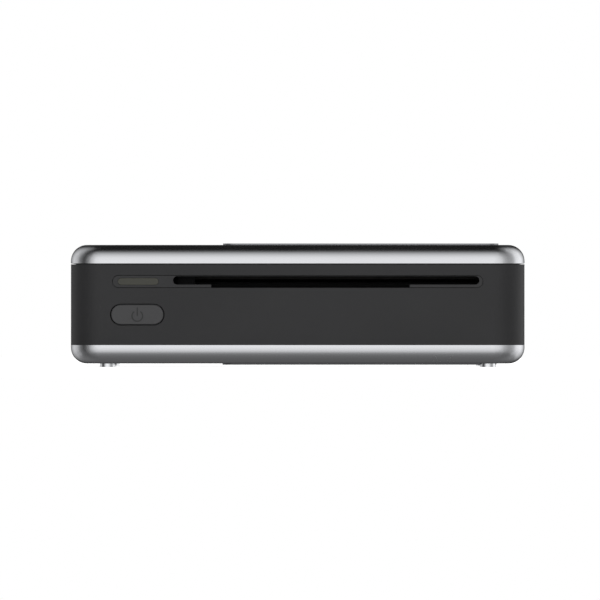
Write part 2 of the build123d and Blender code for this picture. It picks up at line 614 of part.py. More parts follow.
# Paper tray: well for the sheets, side decks, slots for the pickup tyres
with BuildPart() as paper_tray:
    well_x = (WELL_LEFT - TRAY_WALL, WELL_RIGHT + TRAY_WALL)
    deck_x = (-FRAME_IN_X + 0.2, FRAME_IN_X - 0.2)
    slab(deck_x, (DECK_FRONT, WELL_BACK + TRAY_WALL), (LEDGE_TOP, TRAY_TOP))
    slab(well_x, (WELL_FRONT, WELL_BACK + TRAY_WALL), (WELL_FLOOR_TOP - TRAY_THICKNESS, TRAY_TOP))
    slab(
        (WELL_LEFT, WELL_RIGHT),
        (WELL_FRONT - 1, WELL_BACK),
        (WELL_FLOOR_TOP, TRAY_TOP + 1),
        Mode.SUBTRACT,
    )
    for x in TYRE_X:
        slab(
            (x - TYRE_WIDTH / 2 - 0.6, x + TYRE_WIDTH / 2 + 0.6),
            (PICKUP_Y - 3.4, PICKUP_Y + 3.4),
            (WELL_FLOOR_TOP - 2, WELL_FLOOR_TOP + 1),
            Mode.SUBTRACT,
        )
    for x, y in TRAY_SCREWS:
        stud_z(x, y, SMALL_SCREW_RADIUS + FIT, (LEDGE_TOP - 1, TRAY_TOP + 1), Mode.SUBTRACT)
    # Ribs on the floor of the well
    for x in (WELL_LEFT + 6, SLOT_CENTRE_X, WELL_RIGHT - 6):
        rib_z = (WELL_FLOOR_TOP - 0.2, WELL_FLOOR_TOP + 0.2)
        slab((x - 0.4, x + 0.4), (DECK_FRONT + 2, WELL_BACK - 4), rib_z)
    uprights = paper_tray.edges().filter_by(Axis.Z)
    fillet(uprights.filter_by_position(Axis.Y, WELL_BACK - 0.01, WELL_BACK + 0.01), 1.5)
save(paper_tray, "paper_tray")

# Side plates of the print engine: bent steel with bearing holes and foot tabs
PIVOT = (HEAD_PIVOT_Y, HEAD_PIVOT_Z)
BUSHING_BORES = (
    (PLATEN_AXIS, PLATEN_SHAFT_RADIUS),
    (FEED_AXIS, SMALL_SHAFT_RADIUS),
    (PICKUP_AXIS, SMALL_SHAFT_RADIUS),
)
TAB_Y = ((PLATE_FRONT + 1.0, PLATE_FRONT + 7.0), (PLATE_BACK - 6.5, PLATE_BACK - 0.5))
TAB_LENGTH = 4.0
CROSSBAR_Y = (PLATEN_Y + 2.2, PLATEN_Y + 5.4)
CROSSBAR_THICKNESS = 0.6


def side_plate(inner_x, outer_x, inward):
    """Steel side plate with its openings, on the side of the given inner face."""
    corners = [
        (PLATE_FRONT, FLOOR_TOP),
        (PLATE_FRONT, PLATE_TOP - 1.5),
        (PLATE_FRONT + 1.5, PLATE_TOP),
        (PLATE_STEP_Y, PLATE_TOP),
        (PLATE_STEP_Y, PLATE_LOW_TOP),
        (PLATE_BACK, PLATE_LOW_TOP),
        (PLATE_BACK, FLOOR_TOP),
    ]
    with BuildSketch(Plane.YZ.offset(min(inner_x, outer_x))) as outline:
        Polygon(*corners, align=None)
        for axis, radius in BUSHING_BORES:
            with Locations(axis):
                hole = radius + RUNNING + BUSHING_WALL + PRESS
                RegularPolygon(hole, BUSHING_SIDES, major_radius=False, mode=Mode.SUBTRACT)
        with Locations(PIVOT):
            Circle(TRUNNION_RADIUS + RUNNING, mode=Mode.SUBTRACT)
        slot_width = 2 * (PINCH_JOURNAL_RADIUS + RUNNING)
        with Locations((FEED_Y, PINCH_Z)):
            Circle(slot_width / 2, mode=Mode.SUBTRACT)
        with Locations((FEED_Y, PINCH_Z + 1)):
            Rectangle(slot_width, 2, mode=Mode.SUBTRACT)
    extrude(outline.sketch, amount=PLATE_THICKNESS)
    for tab in TAB_Y:
        slab((inner_x, inner_x + inward * TAB_LENGTH), tab, (FLOOR_TOP, FLOOR_TOP + PLATE_THICKNESS))
        middle = (tab[0] + tab[1]) / 2
        hole_x = inner_x + inward * TAB_LENGTH * 0.55
        stud_z(hole_x, middle, SMALL_SCREW_RADIUS + FIT, (0, FLOOR_TOP + 2), Mode.SUBTRACT)
    tab_top = PLATE_TOP + PLATE_THICKNESS / 2
    slab((min(inner_x, outer_x), max(inner_x, outer_x)), CROSSBAR_Y, (PLATE_TOP, tab_top))


LEFT_PLATE_OUTER = LEFT_PLATE_INNER - PLATE_THICKNESS
RIGHT_PLATE_OUTER = RIGHT_PLATE_INNER + PLATE_THICKNESS
POST_ENDS = (GEAR_LEFT - 0.8, LEFT_PLATE_OUTER)

with BuildPart() as left_side_plate:
    side_plate(LEFT_PLATE_INNER, LEFT_PLATE_OUTER, 1)
    through = (LEFT_PLATE_OUTER - 1, LEFT_PLATE_INNER + 1)
    rod_x(*MOTOR_AXIS, MOTOR_SHAFT_RADIUS + 0.8, through, Mode.SUBTRACT)
    for side in (-1, 1):
        screw_y = MOTOR_AXIS[0] + side * MOTOR_SCREW_OFFSET
        stud_x(screw_y, MOTOR_AXIS[1], SMALL_SCREW_RADIUS + FIT, through, Mode.SUBTRACT)
save(left_side_plate, "left_side_plate")

with BuildPart() as right_side_plate:
    side_plate(RIGHT_PLATE_INNER, RIGHT_PLATE_OUTER, -1)
save(right_side_plate, "right_side_plate")

CROSSBAR_Z = (PLATE_TOP + PLATE_THICKNESS / 2, PLATE_TOP + PLATE_THICKNESS / 2 + CROSSBAR_THICKNESS)
with BuildPart() as crossbar:
    slab((LEFT_PLATE_OUTER, RIGHT_PLATE_OUTER), CROSSBAR_Y, CROSSBAR_Z)
    window_y = (CROSSBAR_Y[0] + 1.0, CROSSBAR_Y[1] - 1.0)
    for step in (-1.5, -0.5, 0.5, 1.5):
        x = SLOT_CENTRE_X + step * 11.0
        slab((x - 2.0, x + 2.0), window_y, (CROSSBAR_Z[0] - 1, CROSSBAR_Z[1] + 1), Mode.SUBTRACT)
save(crossbar, "crossbar")

# Lower paper guide between the two rollers
with BuildPart() as paper_guide:
    slab(
        (LEFT_PLATE_INNER, RIGHT_PLATE_INNER),
        (PLATEN_Y + PLATEN_RADIUS + 0.5, FEED_Y - FEED_RADIUS - 0.5),
        (PATH_BOTTOM - 0.8, PATH_BOTTOM - 0.3),
    )
save(paper_guide, "paper_guide")

# Bearing bushings pressed into eight-sided holes of the side plates
with BuildPart() as shaft_bushings:
    for axis, radius in BUSHING_BORES:
        outer = radius + RUNNING + BUSHING_WALL
        for inner_x, outward in ((LEFT_PLATE_INNER, -1), (RIGHT_PLATE_INNER, 1)):
            end = inner_x + outward * (PLATE_THICKNESS + BUSHING_PROUD)
            length = PLATE_THICKNESS + BUSHING_PROUD
            stud(Plane.YZ.offset(min(inner_x, end)), axis, outer, length, BUSHING_SIDES)
            rod_x(*axis, radius + RUNNING, (inner_x - 2, inner_x + 2), Mode.SUBTRACT)
save(shaft_bushings, "shaft_bushings")

# Platen roller: rubber sleeve on a steel shaft, driven by its gear
SHAFT_LEFT = GEAR_LEFT - 0.6
SHAFT_RIGHT = RIGHT_PLATE_OUTER + 1.6
with BuildPart() as platen_roller:
    rod_x(*PLATEN_AXIS, PLATEN_RADIUS, (ROLLER_LEFT, ROLLER_RIGHT))
    rod_x(*PLATEN_AXIS, PLATEN_SHAFT_RADIUS, (ROLLER_LEFT, ROLLER_RIGHT), Mode.SUBTRACT)
save(platen_roller, "platen_roller")

with BuildPart() as platen_shaft:
    rod_x(*PLATEN_AXIS, PLATEN_SHAFT_RADIUS, (SHAFT_LEFT, SHAFT_RIGHT))
save(platen_shaft, "platen_shaft")

with BuildPart() as platen_gear:
    gear(PLATEN_TEETH, PLATEN_AXIS, PLATEN_PHASE, (GEAR_LEFT, GEAR_RIGHT), PLATEN_SHAFT_RADIUS)
save(platen_gear, "platen_gear")

# Feed roller: steel roller in one piece with its journals
with BuildPart() as feed_roller:
    rod_x(*FEED_AXIS, FEED_RADIUS, (ROLLER_LEFT, ROLLER_RIGHT))
    rod_x(*FEED_AXIS, SMALL_SHAFT_RADIUS, (SHAFT_LEFT, SHAFT_RIGHT))
save(feed_roller, "feed_roller")

with BuildPart() as feed_gear:
    gear(FEED_TEETH, FEED_AXIS, FEED_PHASE, (GEAR_LEFT, GEAR_RIGHT), SMALL_SHAFT_RADIUS)
save(feed_gear, "feed_gear")

# Pinch roller above the feed roller, its journals in open slots of the side plates
with BuildPart() as pinch_roller:
    rod_x(FEED_Y, PINCH_Z, PINCH_RADIUS, (ROLLER_LEFT + 0.4, ROLLER_RIGHT - 0.4))
    rod_x(FEED_Y, PINCH_Z, PINCH_JOURNAL_RADIUS, (LEFT_PLATE_OUTER - 0.8, RIGHT_PLATE_OUTER + 0.8))
save(pinch_roller, "pinch_roller")

# Pickup roller: shaft with two rubber tyres that reach through the tray
with BuildPart() as pickup_shaft:
    rod_x(*PICKUP_AXIS, SMALL_SHAFT_RADIUS, (SHAFT_LEFT, SHAFT_RIGHT))
save(pickup_shaft, "pickup_shaft")

with BuildPart() as pickup_tyres:
    for x in TYRE_X:
        span = (x - TYRE_WIDTH / 2, x + TYRE_WIDTH / 2)
        rod_x(*PICKUP_AXIS, PICKUP_RADIUS, span)
        rod_x(*PICKUP_AXIS, SMALL_SHAFT_RADIUS, span, Mode.SUBTRACT)
save(pickup_tyres, "pickup_tyres")

with BuildPart() as pickup_gear:
    gear(PICKUP_TEETH, PICKUP_AXIS, PICKUP_PHASE, (GEAR_LEFT, GEAR_RIGHT), SMALL_SHAFT_RADIUS)
save(pickup_gear, "pickup_gear")

# Idler gears, each on a fixed post with a clip
with BuildPart() as transfer_gear:
    gear(TRANSFER_TEETH, TRANSFER_AXIS, TRANSFER_PHASE, (GEAR_LEFT, GEAR_RIGHT), POST_RADIUS + RUNNING)
save(transfer_gear, "transfer_gear")

with BuildPart() as drive_gear:
    gear(DRIVE_TEETH, DRIVE_AXIS, DRIVE_PHASE, (GEAR_LEFT, GEAR_RIGHT), POST_RADIUS + RUNNING)
save(drive_gear, "drive_gear")

IDLERS = (TRANSFER_AXIS, DRIVE_AXIS)
CLIP_THICKNESS = 0.4
with BuildPart() as gear_posts:
    for axis in IDLERS:
        rod_x(*axis, POST_RADIUS, POST_ENDS)
        stud_x(*axis, POST_RADIUS + 0.8, (GEAR_RIGHT + 0.2, LEFT_PLATE_OUTER))
save(gear_posts, "gear_posts")

with BuildPart() as gear_clips:
    for axis in IDLERS:
        clip_x = (GEAR_LEFT - 0.1 - CLIP_THICKNESS, GEAR_LEFT - 0.1)
        stud_x(*axis, POST_RADIUS + 0.9, clip_x)
        stud_x(*axis, POST_RADIUS + PRESS, clip_x, Mode.SUBTRACT)
        slab(clip_x, (axis[0] - 0.6, axis[0] + 0.6), (axis[1] - 3, axis[1]), Mode.SUBTRACT)
save(gear_clips, "gear_clips")

# Geared motor on the left side plate
MOTOR_END = LEFT_PLATE_INNER + GEARBOX_LENGTH + MOTOR_LENGTH
with BuildPart() as gear_motor:
    with BuildSketch(Plane.YZ.offset(LEFT_PLATE_INNER)):
        with Locations(MOTOR_AXIS):
            Rectangle(MOTOR_WIDTH, MOTOR_HEIGHT)
    extrude(amount=GEARBOX_LENGTH)
    chamfer(gear_motor.edges().filter_by(Axis.X), 0.8)
    with BuildSketch(Plane.YZ.offset(LEFT_PLATE_INNER + GEARBOX_LENGTH)):
        with Locations(MOTOR_AXIS):
            Circle(MOTOR_WIDTH / 2)
            Rectangle(MOTOR_WIDTH, MOTOR_HEIGHT, mode=Mode.INTERSECT)
    extrude(amount=MOTOR_LENGTH)
    stud(Plane.YZ.offset(MOTOR_END), MOTOR_AXIS, 1.8, 0.8, BUSHING_SIDES)
    shaft_bore = (LEFT_PLATE_INNER - 1, LEFT_PLATE_INNER + 4)
    rod_x(*MOTOR_AXIS, MOTOR_SHAFT_RADIUS + RUNNING, shaft_bore, Mode.SUBTRACT)
    for side in (-1, 1):
        hole = (LEFT_PLATE_INNER - 1, LEFT_PLATE_INNER + 2.4)
        screw_y = MOTOR_AXIS[0] + side * MOTOR_SCREW_OFFSET
        stud_x(screw_y, MOTOR_AXIS[1], SMALL_SCREW_RADIUS + PRESS, hole, Mode.SUBTRACT)
save(gear_motor, "gear_motor")

with BuildPart() as motor_shaft:
    rod_x(*MOTOR_AXIS, MOTOR_SHAFT_RADIUS, (GEAR_LEFT - 0.3, LEFT_PLATE_INNER + 3.9))
save(motor_shaft, "motor_shaft")

with BuildPart() as motor_pinion:
    gear(PINION_TEETH, MOTOR_AXIS, PINION_PHASE, (GEAR_LEFT, GEAR_RIGHT), MOTOR_SHAFT_RADIUS)
save(motor_pinion, "motor_pinion")

# Print head: carrier with trunnions, heat sink, ceramic heater bar, connector
CARRIER_TOP = CARRIER_BOTTOM + CARRIER_THICKNESS
carrier_x = (LEFT_PLATE_INNER + HEAD_SIDE_GAP, RIGHT_PLATE_INNER - HEAD_SIDE_GAP)
HEAT_SINK_Y = (HEAD_FRONT, HEAD_FRONT + 3.0)
FIN_COUNT = 4
FIN_THICKNESS = 0.4
FIN_HEIGHT = 0.7
with BuildPart() as head_carrier:
    slab(carrier_x, (HEAD_FRONT, HEAD_PIVOT_Y), (CARRIER_BOTTOM, CARRIER_TOP))
    notch_x = SCREW_X - CASE_BOSS_RADIUS - 0.6
    notch_y = -SCREW_Y + CASE_BOSS_RADIUS + 0.5
    slab((notch_x, RIGHT_PLATE_INNER), (HEAD_FRONT - 1, notch_y), (0, CASE_TOP), Mode.SUBTRACT)
    barrel_y = (HEAD_PIVOT_Y - 1.2, HEAD_PIVOT_Y + 1.2)
    slab(carrier_x, barrel_y, (HEAD_PIVOT_Z - 1.2, HEAD_PIVOT_Z + 1.1))
    rod_x(HEAD_PIVOT_Y, HEAD_PIVOT_Z, TRUNNION_RADIUS, (LEFT_PLATE_OUTER, RIGHT_PLATE_OUTER))
save(head_carrier, "head_carrier")

with BuildPart() as head_heat_sink:
    sink_x = (ROLLER_LEFT + 2, ROLLER_RIGHT - 2)
    slab(sink_x, HEAT_SINK_Y, (CARRIER_TOP, CARRIER_TOP + 0.4))
    pitch = (HEAT_SINK_Y[1] - HEAT_SINK_Y[0] - FIN_THICKNESS) / (FIN_COUNT - 1)
    for fin in range(FIN_COUNT):
        y = HEAT_SINK_Y[0] + fin * pitch
        slab(sink_x, (y, y + FIN_THICKNESS), (CARRIER_TOP + 0.3, CARRIER_TOP + 0.4 + FIN_HEIGHT))
save(head_heat_sink, "head_heat_sink")

with BuildPart() as head_ceramic:
    ceramic_y = (PLATEN_Y - CERAMIC_DEPTH / 2, PLATEN_Y + CERAMIC_DEPTH / 2)
    slab((ROLLER_LEFT, ROLLER_RIGHT), ceramic_y, (CERAMIC_BOTTOM, CARRIER_BOTTOM))
    bead = CERAMIC_BOTTOM - PATH_BOTTOM - PAPER_THICKNESS
    with BuildSketch(Plane.YZ.offset(ROLLER_LEFT)):
        with Locations((PLATEN_Y, CERAMIC_BOTTOM)):
            Ellipse(0.8, bead)
    extrude(amount=ROLLER_RIGHT - ROLLER_LEFT)
save(head_ceramic, "head_ceramic")

CONNECTOR_X = 1.0
CONNECTOR_WIDTH = 14.0
CONNECTOR_Y = (PLATEN_Y - 0.6, PLATEN_Y + 1.6)
with BuildPart() as head_connector:
    body_x = (CONNECTOR_X - CONNECTOR_WIDTH / 2, CONNECTOR_X + CONNECTOR_WIDTH / 2)
    mouth_x = (body_x[0] + 0.6, body_x[1] - 0.6)
    mouth_y = (CONNECTOR_Y[1] - 1.0, CONNECTOR_Y[1] + 0.1)
    slab(body_x, CONNECTOR_Y, (CARRIER_TOP, CARRIER_TOP + 0.9))
    slab(mouth_x, mouth_y, (CARRIER_TOP + 0.25, CARRIER_TOP + 0.65), Mode.SUBTRACT)
save(head_connector, "head_connector")

# Leaf springs under the crossbar press the head down
SPRING_THICKNESS = 0.2
SPRING_X = (ROLLER_LEFT + 3.6, ROLLER_RIGHT - 3.6)
SPRING_WIDTH = 4.0
with BuildPart() as head_springs:
    spring_top = CROSSBAR_Z[0]
    profile = [
        (CROSSBAR_Y[1] - 0.4, spring_top),
        (CROSSBAR_Y[0], spring_top),
        (PLATEN_Y - 0.4, CARRIER_TOP + 0.32),
        (PLATEN_Y - 1.0, CARRIER_TOP + 0.5),
        (PLATEN_Y - 1.0, CARRIER_TOP + 0.3),
        (PLATEN_Y - 0.4, CARRIER_TOP + 0.12),
        (CROSSBAR_Y[0], spring_top - 0.2),
        (CROSSBAR_Y[1] - 0.4, spring_top - 0.2),
    ]
    for x in SPRING_X:
        with BuildSketch(Plane.YZ.offset(x - SPRING_WIDTH / 2)):
            Polygon(*profile, align=None)
        extrude(amount=SPRING_WIDTH)
save(head_springs, "head_springs")

# Battery pack: two flat cells in one wrap
CELL_GAP = 0.4
CELL_EDGE = 1.2
BATTERY_TOP = FLOOR_TOP + BATTERY_HEIGHT
with BuildPart() as battery_pack:
    slab((-BATTERY_HALF_WIDTH, -CELL_GAP / 2), (BATTERY_FRONT, BATTERY_BACK), (FLOOR_TOP, BATTERY_TOP))
    slab((CELL_GAP / 2, BATTERY_HALF_WIDTH), (BATTERY_FRONT, BATTERY_BACK), (FLOOR_TOP, BATTERY_TOP))
    chamfer(battery_pack.edges().filter_by(Axis.Y), CELL_EDGE)
    slab((-2, 2), (BATTERY_FRONT, BATTERY_BACK), (FLOOR_TOP + 2.0, BATTERY_TOP - 2.0))
save(battery_pack, "battery_pack")

# Main board on four posts, with what it carries
BOARD_TOP = BOARD_Z + BOARD_THICKNESS
with BuildPart() as main_board:
    slab((-BOARD_HALF_WIDTH, BOARD_HALF_WIDTH), (BOARD_FRONT, BOARD_BACK), (BOARD_Z, BOARD_TOP))
    for sx in (-1, 1):
        slab(
            (sx * (SCREW_X - CASE_BOSS_RADIUS - 0.5), sx * HALF_W),
            (SCREW_Y - CASE_BOSS_RADIUS - 0.5, HALF_D),
            (BOARD_Z - 1, BOARD_TOP + 1),
            Mode.SUBTRACT,
        )
    for x, y in BOARD_POSTS:
        stud_z(x, y, BOARD_STAKE_RADIUS + FIT, (BOARD_Z - 1, BOARD_TOP + 1), Mode.SUBTRACT)
save(main_board, "main_board")

with BuildPart() as usb_socket:
    pill(USB_X, usb_z, USB_WIDTH, USB_HEIGHT, (BOARD_BACK - 1.6, HALF_D - 0.3))
    pill(USB_X, usb_z, USB_WIDTH - 0.7, USB_HEIGHT - 0.7, (BOARD_BACK + 0.4, HALF_D), Mode.SUBTRACT)
    slab((USB_X - 2.6, USB_X + 2.6), (BOARD_BACK, HALF_D - 0.9), (usb_z + 0.1, usb_z + 0.6))
save(usb_socket, "usb_socket")

SHIELD_SIZE = (14.0, 10.0, 1.8)
with BuildPart() as board_shield:
    left = -BOARD_HALF_WIDTH + 7.0
    front = BOARD_FRONT + 7.0
    shield_x = (left, left + SHIELD_SIZE[0])
    shield_y = (front, front + SHIELD_SIZE[1])
    slab(shield_x, shield_y, (BOARD_TOP, BOARD_TOP + SHIELD_SIZE[2]))
    chamfer(board_shield.edges().filter_by(Axis.Z), 0.5)
save(board_shield, "board_shield")

CHIPS = ((-4.0, 13.0, 8.0), (8.0, 11.0, 6.0), (17.0, 7.0, 5.0), (24.0, 17.0, 4.0))
with BuildPart() as board_chips:
    for x, behind, size in CHIPS:
        y = BOARD_FRONT + behind
        slab((x - size / 2, x + size / 2), (y - size / 2, y + size / 2), (BOARD_TOP, BOARD_TOP + 1.0))
save(board_chips, "board_chips")

CONNECTORS = ((-20.0, 8.0), (-4.0, 14.0), (12.0, 6.0))
with BuildPart() as board_connectors:
    for x, width in CONNECTORS:
        body_x = (x - width / 2, x + width / 2)
        mouth_x = (body_x[0] + 0.5, body_x[1] - 0.5)
        slab(body_x, (BOARD_FRONT + 1, BOARD_FRONT + 4), (BOARD_TOP, BOARD_TOP + 2.0))
        slab(mouth_x, (BOARD_FRONT, BOARD_FRONT + 3), (BOARD_TOP + 0.6, BOARD_TOP + 1.4), Mode.SUBTRACT)
save(board_connectors, "board_connectors")

# Reset switch with its pin-pushed plunger, and the light pipe of the charge light
RESET_BODY_BACK = HALF_D - 3.6
REAR_PARTS_FRONT = HALF_D - 7.0
PLUNGER_FRONT = HALF_D - 5.0
PLUNGER_RADIUS = 0.55
with BuildPart() as reset_switch:
    slab((RESET_X - 2, RESET_X + 2), (REAR_PARTS_FRONT, RESET_BODY_BACK), (BOARD_TOP, BOARD_TOP + 2.4))
    plunger_bore = (PLUNGER_FRONT, RESET_BODY_BACK + 1)
    rod_y(RESET_X, REAR_HOLE_Z, PLUNGER_RADIUS + RUNNING, plunger_bore, Mode.SUBTRACT)
save(reset_switch, "reset_switch")

with BuildPart() as reset_plunger:
    plunger = (PLUNGER_FRONT + RESET_TRAVEL + 0.05, RESET_BODY_BACK + 0.6)
    rod_y(RESET_X, REAR_HOLE_Z, PLUNGER_RADIUS, plunger)
save(reset_plunger, "reset_plunger")

with BuildPart() as charge_light_pipe:
    rod_y(CHARGE_X, REAR_HOLE_Z, CHARGE_HOLE_RADIUS, (PLUNGER_FRONT, HALF_D))
    block_y = (REAR_PARTS_FRONT, PLUNGER_FRONT + 0.6)
    slab((CHARGE_X - 1.0, CHARGE_X + 1.0), block_y, (BOARD_TOP, REAR_HOLE_Z + 1.0))
save(charge_light_pipe, "charge_light_pipe")

# Magnets in the frame and steel keepers in the cover hold it shut
with BuildPart() as frame_magnets:
    for sx in (-1, 1):
        magnet(sx)
save(frame_magnets, "frame_magnets")

with BuildPart() as cover_keepers:
    for sx in (-1, 1):
        keeper_x = (sx * SCREW_X - MAGNET_RADIUS, sx * SCREW_X + MAGNET_RADIUS)
        keeper_y = (-SCREW_Y - MAGNET_RADIUS, -SCREW_Y + MAGNET_RADIUS)
        slab(keeper_x, keeper_y, (FRAME_TOP + 0.2, LINER_BOTTOM))
save(cover_keepers, "cover_keepers")

# Hinge pins through the knuckles
with BuildPart() as hinge_pins:
    for sx in (-1, 1):
        pin_x = (sx * KNUCKLE_X - PIN_LENGTH / 2, sx * KNUCKLE_X + PIN_LENGTH / 2)
        rod_x(HINGE_Y, HINGE_Z, PIN_RADIUS, pin_x)
save(hinge_pins, "hinge_pins")

# Small screws: engine feet, crossbar, motor and paper tray
with BuildPart() as inner_screws:
    for x, y in TRAY_SCREWS:
        stud_z(x, y, SMALL_HEAD_RADIUS, (TRAY_TOP, TRAY_TOP + SMALL_HEAD_HEIGHT))
        stud_z(x, y, SMALL_SCREW_RADIUS, (TRAY_TOP - SMALL_SCREW_LENGTH, TRAY_TOP))
    for inner_x, inward in ((LEFT_PLATE_INNER, 1), (RIGHT_PLATE_INNER, -1)):
        for tab in TAB_Y:
            x = inner_x + inward * TAB_LENGTH * 0.55
            y = (tab[0] + tab[1]) / 2
            seat = FLOOR_TOP + PLATE_THICKNESS
            stud_z(x, y, SMALL_HEAD_RADIUS, (seat, seat + SMALL_HEAD_HEIGHT))
            stud_z(x, y, SMALL_SCREW_RADIUS, (FLOOR_TOP, seat))
    for side in (-1, 1):
        y = MOTOR_AXIS[0] + side * MOTOR_SCREW_OFFSET
        stud_x(y, MOTOR_AXIS[1], SMALL_HEAD_RADIUS, (LEFT_PLATE_OUTER - SMALL_HEAD_HEIGHT, LEFT_PLATE_OUTER))
        stud_x(y, MOTOR_AXIS[1], SMALL_SCREW_RADIUS, (LEFT_PLATE_OUTER, LEFT_PLATE_INNER + 2.2))
save(inner_screws, "inner_screws")

# Top cover: silver shell with a rounded edge and the hinge barrel at its rear
with BuildPart() as cover_cavity:
    plan(SHELL_WALL, (UPPER_SEAM, COVER_CEILING))
    chamfer(cover_cavity.faces().sort_by(Axis.Z)[-1].edges(), CAVITY_CHAMFER)

with BuildPart() as cover_form:
    plan(0, (HINGE_BEAM_BOTTOM, CASE_TOP))
    fillet(cover_form.faces().sort_by(Axis.Z)[-1].edges(), EDGE_RADIUS)

with BuildPart() as cover_barrel:
    rod_x(HINGE_Y, HINGE_Z, HINGE_RADIUS, (-HALF_W, HALF_W))
    add(cover_form.part, mode=Mode.INTERSECT)

with BuildPart() as top_cover:
    plan(0, (UPPER_SEAM, CASE_TOP))
    fillet(top_cover.faces().sort_by(Axis.Z)[-1].edges(), EDGE_RADIUS)
    add(cover_cavity.part, mode=Mode.SUBTRACT)
    add(cover_barrel.part)
    for sx in (-1, 1):
        half = KNUCKLE_LENGTH / 2 + SIDE_GAP
        slab(
            (sx * KNUCKLE_X - half, sx * KNUCKLE_X + half),
            (HINGE_Y - HINGE_RADIUS - SIDE_GAP, HALF_D + 1),
            (0, CASE_TOP + 1),
            Mode.SUBTRACT,
        )
        half_bore = PIN_LENGTH / 2 + 0.2
        bore = (sx * KNUCKLE_X - half_bore, sx * KNUCKLE_X + half_bore)
        rod_x(HINGE_Y, HINGE_Z, PIN_RADIUS + RUNNING, bore, Mode.SUBTRACT)
save(top_cover, "top_cover")

# Brushed plate on the cover
with BuildPart() as cover_plate:
    with BuildSketch(Plane.XY.offset(CASE_TOP)):
        middle_x = (TOP_PLATE_LEFT + TOP_PLATE_RIGHT) / 2
        middle_y = (TOP_PLATE_FRONT + TOP_PLATE_BACK) / 2
        with Locations((middle_x, middle_y)):
            RectangleRounded(TOP_PLATE_RIGHT - TOP_PLATE_LEFT, TOP_PLATE_BACK - TOP_PLATE_FRONT, PLATE_CORNER)
    extrude(amount=PLATE_PROUD)
save(cover_plate, "cover_plate")

# Liner under the cover, with the hooks of the pressure plate
PRESS_BOTTOM = LINER_BOTTOM - PRESS_TRAVEL - PRESS_THICKNESS - 0.2
PRESS_TOP = PRESS_BOTTOM + PRESS_THICKNESS
HOOK_X = PRESS_WIDTH / 2 - 2.5
HOOK_Y = PRESS_LENGTH / 2 - 5.0
HOOK_PLACES = [(SLOT_CENTRE_X + sx * HOOK_X, PRESS_CENTRE_Y + sy * HOOK_Y) for sx, sy in CORNERS]
HOOK_WIDTH = 3.0
HOOK_DEPTH = 1.2
HOOK_BARB = 0.6
HOOK_HEAD = 0.5
with BuildPart() as cover_liner:
    offset = EDGE_RADIUS + FIT
    with BuildSketch(Plane.XY.offset(LINER_BOTTOM)):
        with Locations((0, (HINGE_BEAM_FRONT - HALF_D + offset) / 2)):
            depth = HINGE_BEAM_FRONT + HALF_D - offset
            RectangleRounded(WIDTH - 2 * offset, depth, CORNER_RADIUS - offset)
    extrude(amount=LINER_THICKNESS)
    # Hooks that the pressure plate slides on
    for x, y in HOOK_PLACES:
        hook_x = (x - HOOK_WIDTH / 2, x + HOOK_WIDTH / 2)
        slab(hook_x, (y - HOOK_DEPTH / 2, y + HOOK_DEPTH / 2), (PRESS_BOTTOM - 0.1, LINER_BOTTOM + 0.2))
        barb_y = (y - HOOK_DEPTH / 2 - HOOK_BARB, y + HOOK_DEPTH / 2 + HOOK_BARB)
        slab(hook_x, barb_y, (PRESS_BOTTOM - HOOK_HEAD, PRESS_BOTTOM - 0.02))
save(cover_liner, "cover_liner")

# Pressure plate slides on the liner's hooks and holds the sheets down
with BuildPart() as pressure_plate:
    slab(
        (SLOT_CENTRE_X - PRESS_WIDTH / 2, SLOT_CENTRE_X + PRESS_WIDTH / 2),
        (PRESS_FRONT, PRESS_BACK),
        (PRESS_BOTTOM, PRESS_TOP),
    )
    chamfer(pressure_plate.edges().filter_by(Axis.Z), 1.5)
    for x, y in HOOK_PLACES:
        window_x = (x - HOOK_WIDTH / 2 - FIT, x + HOOK_WIDTH / 2 + FIT)
        window_y = (y - HOOK_DEPTH / 2 - FIT, y + HOOK_DEPTH / 2 + FIT)
        slab(window_x, window_y, (PRESS_BOTTOM - 1, PRESS_TOP + 1), Mode.SUBTRACT)
save(pressure_plate, "pressure_plate")

with BuildPart() as pressure_pads:
    for x in TYRE_X:
        slab(
            (x - TYRE_WIDTH / 2, x + TYRE_WIDTH / 2),
            (PRESS_FRONT + 0.5, PRESS_FRONT + 6.5),
            (PRESS_BOTTOM - PAD_HEIGHT, PRESS_BOTTOM),
        )
save(pressure_pads, "pressure_pads")

# Bow springs between the liner and the pressure plate
with BuildPart() as pressure_springs:
    for y in (PRESS_CENTRE_Y - 14.0, PRESS_CENTRE_Y + 14.0):
        bow = [
            (SLOT_CENTRE_X - 12.0, PRESS_TOP + 0.05),
            (SLOT_CENTRE_X - 3.0, LINER_BOTTOM - SPRING_THICKNESS),
            (SLOT_CENTRE_X + 3.0, LINER_BOTTOM - SPRING_THICKNESS),
            (SLOT_CENTRE_X + 12.0, PRESS_TOP + 0.05),
            (SLOT_CENTRE_X + 12.0, PRESS_TOP + 0.05 + SPRING_THICKNESS),
            (SLOT_CENTRE_X + 3.0, LINER_BOTTOM),
            (SLOT_CENTRE_X - 3.0, LINER_BOTTOM),
            (SLOT_CENTRE_X - 12.0, PRESS_TOP + 0.05 + SPRING_THICKNESS),
        ]
        with BuildSketch(Plane.XZ.offset(-y - 2.5)):
            Polygon(*bow, align=None)
        extrude(amount=5.0)
save(pressure_springs, "pressure_springs")
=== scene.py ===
import math

